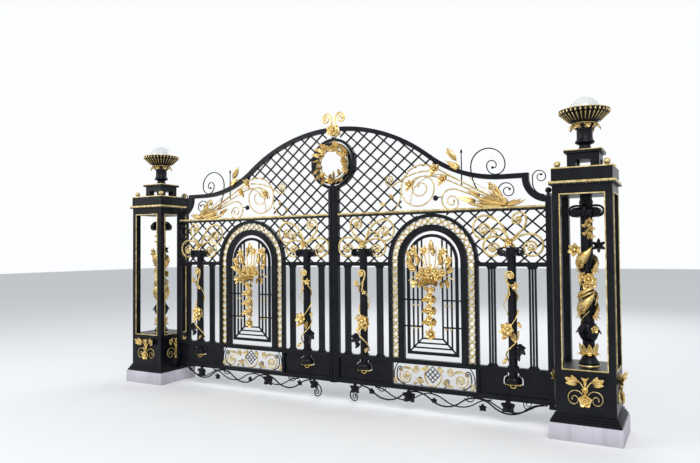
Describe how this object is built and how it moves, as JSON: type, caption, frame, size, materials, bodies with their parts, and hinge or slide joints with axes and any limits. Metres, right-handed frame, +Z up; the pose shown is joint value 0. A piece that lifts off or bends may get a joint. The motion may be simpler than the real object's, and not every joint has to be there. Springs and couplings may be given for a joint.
{
  "type": "driveway gate",
  "caption": "Double-leaf wrought iron driveway gate with arched windows, lattice and gilded scroll work, hung between two open box posts with urns and globe lamps",
  "frame": {"origin": "centre of the underside of the left post's plinth, on the ground", "axes": "+X runs along the gate from the left post to the right post, +Y points into the property, the way both leaves open, +Z is up"},
  "size_m": [5.66, 0.58, 3.0743],
  "materials": {
    "iron": "satin black paint over forged iron",
    "gold": "gold paint, brown in the recesses",
    "pale_gold": "pale champagne gold paint",
    "plinth_paint": "pale painted render",
    "globe": "white opal globe"
  },
  "bodies": {
    "posts": {"plinths": "plinth_paint", "post_bases": "iron", "post_frames": "iron", "post_heads": "iron", "post_gilding": "gold", "panel_ornaments": "gold", "post_columns": "iron", "post_foliage": "gold", "urn_pedestals": "iron", "urns": "iron", "globes": "globe", "hinge_brackets": "iron"},
    "left_leaf": {"left_stiles": "iron", "left_rails": "iron", "left_band_trim": "gold", "left_top_rail": "iron", "left_lattice": "iron", "left_arch_frames": "iron", "left_arch_chain": "pale_gold", "left_grille": "iron", "left_pickets": "iron", "left_columns": "iron", "left_column_vines": "gold", "left_bay_scrolls": "pale_gold", "left_panels": "iron", "left_scroll_panel": "pale_gold", "left_ground_vine": "iron", "left_spray": "pale_gold", "left_shoulder_scrolls": "iron", "left_bouquet": "gold", "crown_ring": "iron", "wreath": "gold", "crown_rosette": "gold"},
    "right_leaf": {"right_stiles": "iron", "right_rails": "iron", "right_band_trim": "gold", "right_top_rail": "iron", "right_lattice": "iron", "right_arch_frames": "iron", "right_arch_chain": "pale_gold", "right_grille": "iron", "right_pickets": "iron", "right_columns": "iron", "right_column_vines": "gold", "right_bay_scrolls": "pale_gold", "right_panels": "iron", "right_scroll_panel": "pale_gold", "right_ground_vine": "iron", "right_spray": "pale_gold", "right_shoulder_scrolls": "iron", "right_bouquet": "gold"}
  },
  "joints": [
    {"name": "left_hinge", "type": "hinge", "parent": "posts", "child": "left_leaf", "pos_m": [0.315, 0, 0.21], "axis": [0, 0, 1], "range_deg": [0, 90]},
    {"name": "right_hinge", "type": "hinge", "parent": "posts", "child": "right_leaf", "pos_m": [4.765, 0, 0.21], "axis": [0, 0, -1], "range_deg": [0, 90]}
  ]
}
